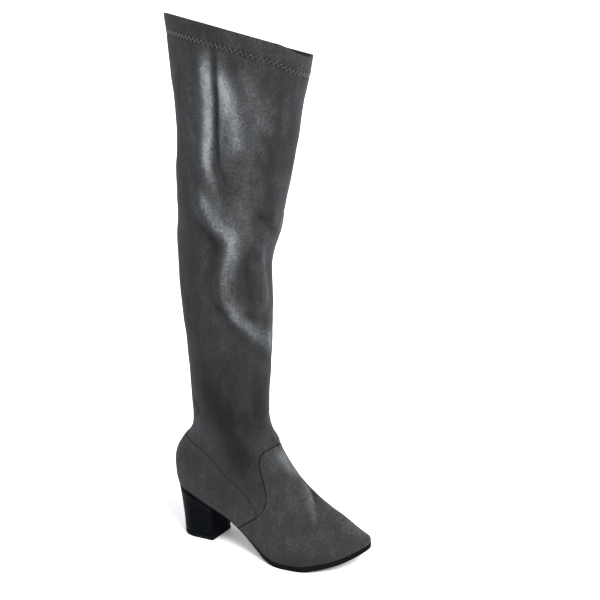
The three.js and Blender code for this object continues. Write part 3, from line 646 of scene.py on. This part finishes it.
def loop_distance(points, loop):
    """Distance from each point to a closed loop of vertices, in millimetres."""
    rim = np.array([vert.co for vert in loop + loop[:1]]) / MM
    return along_route(points, rim)[0]


def ripple_of(points, across, down):
    """A random ripple of the cloth about nought, its waves so wide across and down the leg."""
    waves = points / (across, across, down)
    return np.array([noise.fractal(Vector(p), 0.9, 2.0, 3) for p in waves])


def fold_skin(bm, points, distances, folds):
    """Lays folds and a slow ripple into the skin, none at its edges, and gathers it at the hem's stitch."""
    height = folds + RIPPLE_DEPTH * ripple_of(points, RIPPLE_WIDTH, RIPPLE_WIDTH)
    for edge, near, far in EDGE_FADES:
        height *= smoothstep(distances[edge], near, far)
    height -= GATHER_DEPTH * np.exp(-((distances["hem_seam"] / GATHER_WIDTH) ** 2))
    for vert, out in zip(bm.verts, height):
        vert.co += vert.normal * float(out) * MM
    bm.normal_update()


def shaped_skin():
    """The outside of the upper as one fine folded sheet, which knows how far each point is from its seams."""
    bm = subdivided(outer_sheet(node_copy("upper")), 2)
    bm.normal_update()
    points = points_of(bm)
    normals = np.array([vert.normal for vert in bm.verts])
    collar, slot, feather = boundary_loops(bm)
    wrinkles = ripple_of(points, WRINKLE_WIDTH, WRINKLE_LENGTH)
    # The wrinkles' painted light and shade: crests lighter, troughs darker, fading in above the foot
    wrinkle_light_and_shade = WRINKLE_LIGHT_AND_SHADE * wrinkles * smoothstep(points[:, 2], LIGHT_AND_SHADE_START, LIGHT_AND_SHADE_FULL)
    ground = BVHTree.FromBMesh(bm)
    distances = {
        "collar_edge": loop_distance(points, collar),
        "slot_edge": loop_distance(points, slot),
        "feather_edge": loop_distance(points, feather),
        "hem_seam": loop_distance(points, collar) - HEM_STITCH,
        "vamp_seam": foot_field(points, OUTER_VAMP_SEAM, INNER_VAMP_SEAM, 1),
        "counter_seam": foot_field(points, OUTER_COUNTER_SEAM, INNER_COUNTER_SEAM, -1),
        # painted light and shade of the strokes and wrinkles, as a tone
        "painted_light": laid(LIGHT_AND_SHADE_STROKES, ground, points, normals) + wrinkle_light_and_shade,
    }
    for name, values in distances.items():
        layer = bm.verts.layers.float.new(name)
        for vert, value in zip(bm.verts, values):
            vert[layer] = float(value)
    folds = FOLD_DEPTH * laid(FOLDS, ground, points, normals)
    fold_skin(bm, points, distances, folds + WRINKLE_DEPTH * wrinkles)
    return bm


def field_of(bm, name):
    layer = bm.verts.layers.float[name]
    return np.array([vert[layer] for vert in bm.verts])


def cut_along(bm, field):
    """Splits a sheet where the field crosses nought and keeps the part above it."""
    bm.verts.ensure_lookup_table()
    value = {vert: (0.0 if abs(f) < 0.2 else float(f)) for vert, f in zip(bm.verts, field)}
    for edge in list(bm.edges):
        a, b = edge.verts
        if value[a] * value[b] < 0:
            share = value[a] / (value[a] - value[b])
            _, vert = bmesh.utils.edge_split(edge, a, share)
            value[vert] = 0.0
    for face in list(bm.faces):
        zero = [vert for vert in face.verts if value[vert] == 0.0]
        if len(zero) != 2:
            continue
        if not any(zero[1] in edge.verts for edge in zero[0].link_edges if edge in face.edges):
            bmesh.utils.face_split(face, zero[0], zero[1])
    spare = [face for face in bm.faces if sum(value[vert] for vert in face.verts) <= 0]
    bmesh.ops.delete(bm, geom=spare, context="FACES")
    return bm


def foot_field(points, outer_line, inner_line, towards):
    """Distance from a seam drawn in side view, above nought towards the toe (1) or the heel (-1)."""
    value = np.full(len(points), -50.0)
    for inner, line in ((False, outer_line), (True, inner_line)):
        seam = spline([(at * FOOT_LENGTH - HEEL_CENTRE, 0, height * ANKLE_HEIGHT) for at, height in line], 4)
        far = 400 * towards
        outline = np.vstack([[far, 0, seam[0][2]], seam, [seam[-1][0], 0, -400], [far, 0, -400]])
        chosen = ((points[:, 1] > 0) == inner) & (points[:, 2] < PANEL_TOP)
        flat = points[chosen] * (1, 0, 1)
        x, z = flat[:, 0], flat[:, 2]
        within = np.zeros(len(flat), dtype=bool)
        for a, b in zip(outline, np.roll(outline, -1, axis=0)):
            spans = (a[2] > z) != (b[2] > z)
            rise = b[2] - a[2] if b[2] != a[2] else 1e-9
            within ^= spans & (x < (b[0] - a[0]) * (z - a[2]) / rise + a[0])
        distance = along_route(flat, outline[:-1])[0]
        value[chosen] = np.where(within, distance, -distance)
    return value


# Seams in side view: share of the foot length from the heel, and share of the ankle height
OUTER_VAMP_SEAM = [
    (0.62, 0.875), (0.535, 0.835), (0.514, 0.79), (0.517, 0.72), (0.538, 0.64), (0.562, 0.54),
    (0.567, 0.47), (0.552, 0.4), (0.516, 0.34), (0.457, 0.27), (0.39, 0.19), (0.35, 0.12),
]
INNER_VAMP_SEAM = [
    (0.62, 0.875), (0.53, 0.83), (0.5, 0.76), (0.475, 0.66), (0.455, 0.55), (0.435, 0.44),
    (0.42, 0.34), (0.405, 0.25), (0.39, 0.12),
]
OUTER_COUNTER_SEAM = [
    (-0.1, 0.85), (0.04, 0.845), (0.12, 0.83), (0.176, 0.81), (0.22, 0.774), (0.271, 0.704),
    (0.304, 0.638), (0.346, 0.576), (0.416, 0.52), (0.455, 0.463), (0.5, 0.385), (0.5, 0.335),
    (0.445, 0.272), (0.378, 0.19), (0.338, 0.12),
]
INNER_COUNTER_SEAM = [
    (-0.1, 0.85), (0.04, 0.845), (0.12, 0.82), (0.2, 0.75), (0.25, 0.65), (0.275, 0.5),
    (0.28, 0.36), (0.28, 0.12),
]


def round_rim(piece, width, segments=2):
    rim = piece.modifiers.new("rim", "BEVEL")
    rim.width = width * MM
    rim.segments = segments
    rim.limit_method = "ANGLE"
    rim.angle_limit = math.radians(50)


def give_wall(piece, thickness, side, rim):
    """Thickness outwards (side 1) or inwards (side -1), with a soft rim."""
    wall = piece.modifiers.new("wall", "SOLIDIFY")
    wall.thickness = thickness * MM
    wall.offset = side
    round_rim(piece, rim)
    return wall


def panel_sheet(skin, field, lift):
    """The part of the skin where the field is above nought, lifted off it."""
    bm = skin.copy()
    cut_along(bm, field)
    bmesh.ops.delete(bm, geom=[vert for vert in bm.verts if not vert.link_faces], context="VERTS")
    bm.normal_update()
    for vert in bm.verts:
        vert.co += vert.normal * lift * MM
    return bm


def sew_upper(skin, suede, foot_suede, lining):
    upper = link_mesh("upper_shaft", skin.copy(), suede, lining)
    give_wall(upper, UPPER_WALL, -1, 0.35).material_offset = 1
    part_of_boot(upper, "suede", "upper")
    for node in ("vamp", "counter"):
        sheet = panel_sheet(skin, field_of(skin, node + "_seam"), PANEL_GAP)
        panel = link_mesh(node + "_panel", sheet, foot_suede)
        give_wall(panel, PANEL_WALL, 1, 0.3)
        part_of_boot(panel, "suede", node)
    depth = HEM_HEIGHT - field_of(skin, "collar_edge")
    hem = link_mesh("collar_hem", panel_sheet(skin, depth, -UPPER_WALL - COLLAR_GAP), suede)
    give_wall(hem, HEM_WALL, -1, 0.25)
    part_of_boot(hem, "suede", "hem")


def contour(bm, value):
    """Lines where a field crosses nought on a sheet, each as points in millimetres and their normals."""
    bm.verts.index_update()
    bm.edges.index_update()
    crossing, links = {}, {}
    for face in bm.faces:
        ends = []
        for edge in face.edges:
            a, b = edge.verts
            low, high = value[a.index], value[b.index]
            if (low > 0) != (high > 0):
                share = low / (low - high)
                place = a.co.lerp(b.co, share) / MM
                out = a.normal.lerp(b.normal, share).normalized()
                crossing[edge.index] = (*place, *out)
                ends.append(edge.index)
        if len(ends) == 2:
            links.setdefault(ends[0], []).append(ends[1])
            links.setdefault(ends[1], []).append(ends[0])
    lines = []
    left = dict.fromkeys(sorted(links))
    while left:
        line = [next((k for k in left if len(links[k]) == 1), next(iter(left)))]
        del left[line[0]]
        while step := [k for k in links[line[-1]] if k in left]:
            line.append(step[0])
            del left[step[0]]
        if len(line) > 3 and line[0] in links[line[-1]]:
            line.append(line[0])
        lines.append(np.array([crossing[k] for k in line]))
    return [line for line in lines if len(line) > 3]


def paced(line, pace):
    """Points and normals at even paces along a line."""
    steps = np.linalg.norm(np.diff(line[:, :3], axis=0), axis=1)
    travelled = np.concatenate([[0], np.cumsum(steps)])
    at = np.linspace(0, travelled[-1], max(2, round(travelled[-1] / pace)) + 1)
    even = np.stack([np.interp(at, travelled, line[:, k]) for k in range(6)], axis=1)
    return even[:, :3], even[:, 3:]


def lay_thread(name, strands, radius, material):
    """Thread along strands of points in millimetres, as one mesh."""
    curve = bpy.data.curves.new(name, "CURVE")
    curve.dimensions = "3D"
    curve.bevel_depth = radius * MM
    curve.bevel_resolution = 1
    curve.use_fill_caps = True
    for strand in strands:
        line = curve.splines.new("POLY")
        line.points.add(len(strand) - 1)
        for point, place in zip(line.points, strand):
            point.co = (*(Vector(place) * MM), 1)
    rope = bpy.data.objects.new(name, curve)
    bpy.context.collection.objects.link(rope)
    bpy.context.view_layer.update()
    bm = bmesh.new()
    drawn = rope.evaluated_get(bpy.context.evaluated_depsgraph_get())
    bm.from_mesh(drawn.to_mesh())
    drawn.to_mesh_clear()
    bpy.data.objects.remove(rope)
    bpy.data.curves.remove(curve)
    return part_of_boot(link_mesh(name, bm, material), "suede")


def run_stitches(line, lift, pitch, share=0.72):
    """Short stitches along a line, their ends sunk into the cloth."""
    places, normals = paced(line, pitch)
    strands = []
    for a, b, out in zip(places, places[1:], normals):
        end = a + share * (b - a)
        sunk, raised = out * (lift - STITCH_SINK), out * (lift + STITCH_RISE)
        strands.append([a + sunk, a + 0.2 * (end - a) + raised, a + 0.8 * (end - a) + raised, end + sunk])
    return strands


def zigzag(line, reach, pitch, lift):
    """A zigzag thread along a line."""
    places, normals = paced(line, pitch / 2)
    across = np.cross(normals, np.gradient(places, axis=0))
    across /= np.linalg.norm(across, axis=1)[:, None] + 1e-9
    sides = np.where(np.arange(len(places)) % 2, reach, -reach)[:, None]
    return [places + across * sides + normals * lift]


def stitch_seams(skin, pale_thread, dark_thread):
    panel_face = PANEL_GAP + PANEL_WALL
    collar, slot = field_of(skin, "collar_edge"), field_of(skin, "slot_edge")
    vamp, counter = field_of(skin, "vamp_seam"), field_of(skin, "counter_seam")
    strands = []
    for line in contour(skin, collar - HEM_STITCH):
        strands += zigzag(line, reach=2.1, pitch=5.4, lift=0.25)
    lay_thread("collar_zigzag", strands, radius=ZIGZAG_RADIUS, material=pale_thread)
    strands = []
    for line in contour(skin, vamp - VAMP_STITCH):
        strands += run_stitches(line, panel_face, pitch=2.2)
    lay_thread("vamp_stitches", strands, radius=0.2, material=dark_thread)
    strands = []
    for line in contour(skin, counter - COUNTER_STITCH):
        strands += run_stitches(line, panel_face, pitch=2.4, share=0.6)
    lay_thread("counter_stitches", strands, radius=0.22, material=dark_thread)
    strands = []
    for from_slot in ZIP_STITCHES:
        for line in contour(skin, slot - from_slot):
            strands += run_stitches(line, lift=0.05, pitch=2.4)
    lay_thread("zip_border_stitches", strands, radius=0.2, material=pale_thread)


def smooth_node(node, name, material, slot, angle, sharpness, levels):
    bm = node_copy(node)
    crease_sharp_edges(bm, angle, sharpness)
    piece = link_mesh(name, subdivided(bm, levels), material)
    return part_of_boot(piece, slot, node)


def build_sole(sole, heel, lining):
    smooth_node("outsole", "outsole_band", sole, "sole", angle=35, sharpness=0.85, levels=2)
    smooth_node("heel_block", "heel_stack", heel, "heel", angle=40, sharpness=0.9, levels=2)
    smooth_node("heel_tip", "heel_cap", sole, "sole", angle=40, sharpness=0.9, levels=2)
    smooth_node("insole", "insole_sock", lining, "lining", angle=40, sharpness=0.85, levels=1)


def zip_path(pace):
    """Middle, way across and way out of the zip's closed teeth at even paces up its coil."""
    bm = node_copy("zip_coil")
    bm.verts.ensure_lookup_table()
    ends = [[np.array(vert.co) / MM for vert in edge.verts] for edge in bm.edges]
    bm.free()
    low, high = (corner[2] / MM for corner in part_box("zip_coil"))
    rows = []
    for level in np.arange(low + 1.2, high - 1.2, pace):
        cut = np.array([a + (b - a) * (level - a[2]) / (b[2] - a[2]) for a, b in ends
                        if (a[2] > level) != (b[2] > level)])
        front, back = cut[cut[:, 0] > np.median(cut[:, 0])], cut[cut[:, 0] <= np.median(cut[:, 0])]
        across = front.mean(axis=0) - back.mean(axis=0)
        rows.append((*cut.mean(axis=0), *across))
    rows = np.array(rows)
    middle, across = rows[:, :3], rows[:, 3:]
    widths = np.linalg.norm(across, axis=1)
    across = across / widths[:, None]
    along = np.gradient(middle, axis=0)
    along /= np.linalg.norm(along, axis=1)[:, None]
    return middle, across, along, float(np.median(widths))


def coil_tooth(width, thickness, length):
    """One turn of the coil, a rounded block."""
    bm = bmesh.new()
    bmesh.ops.create_cube(bm, size=1.0)
    bmesh.ops.scale(bm, vec=(width * MM, thickness * MM, length * MM), verts=bm.verts)
    bmesh.ops.bevel(
        bm, geom=bm.edges[:], offset=0.22 * MM, affect="EDGES", segments=1, profile=0.5, material=-1,
    )
    tooth = bpy.data.meshes.new("tooth")
    bm.to_mesh(tooth)
    bm.free()
    return tooth


def build_teeth(material):
    middle, across, along, width = zip_path(TOOTH_PACE)
    tooth = coil_tooth(width * TOOTH_WIDTH, TOOTH_THICKNESS, TOOTH_LENGTH)
    bm = bmesh.new()
    for i, (place, way, up) in enumerate(zip(middle, across, along)):
        side = 1 if i % 2 else -1
        out = np.cross(way, up)
        turn = Matrix((way, out, up)).transposed().to_4x4()
        spot = Vector(place + way * side * width * TOOTH_SHIFT) * MM
        known = len(bm.verts)
        bm.from_mesh(tooth)
        bm.verts.ensure_lookup_table()
        bmesh.ops.transform(bm, matrix=Matrix.Translation(spot) @ turn, verts=bm.verts[known:])
    bpy.data.meshes.remove(tooth)
    part_of_boot(link_mesh("zip_coil_teeth", bm, material, smooth=False), "zip", "zip_coil")


def build_zip(tape, metal, teeth):
    build_teeth(teeth)
    for node, name, material, slot, body in (
        ("zip_tape", "zip_tape_cloth", tape, "zip", "boot"),
        ("zip_slider", "zip_slider_body", metal, "metal", "boot"),
        ("zip_pull", "zip_pull_tab", metal, "metal", "pull_tab"),
    ):
        bm = node_copy(node)
        bmesh.ops.dissolve_limit(bm, angle_limit=math.radians(2), verts=bm.verts, edges=bm.edges)
        piece = link_mesh(name, bm, material)
        round_rim(piece, 0.22, 3)
        part_of_boot(piece, slot, node, body=body)


def main():
    place_camera()
    light_the_studio()
    lay_floor(floor_finish())
    suede = suede_finish("shaft_suede", 1.0, SHAFT_SEAMS)
    foot_suede = suede_finish("foot_suede", 1.05, PANEL_SEAMS)
    lining = lining_finish()
    skin = shaped_skin()
    sew_upper(skin, suede, foot_suede, lining)
    grey_thread = thread_finish("grey_thread", (0.062, 0.064, 0.069))
    dark_thread = thread_finish("dark_thread", (0.02, 0.0205, 0.0215))
    stitch_seams(skin, grey_thread, dark_thread)
    skin.free()
    build_sole(sole_finish(), heel_finish(), lining)
    build_zip(tape_finish(), metal_finish(), thread_finish("coil_nylon", (0.03, 0.031, 0.034)))


main()
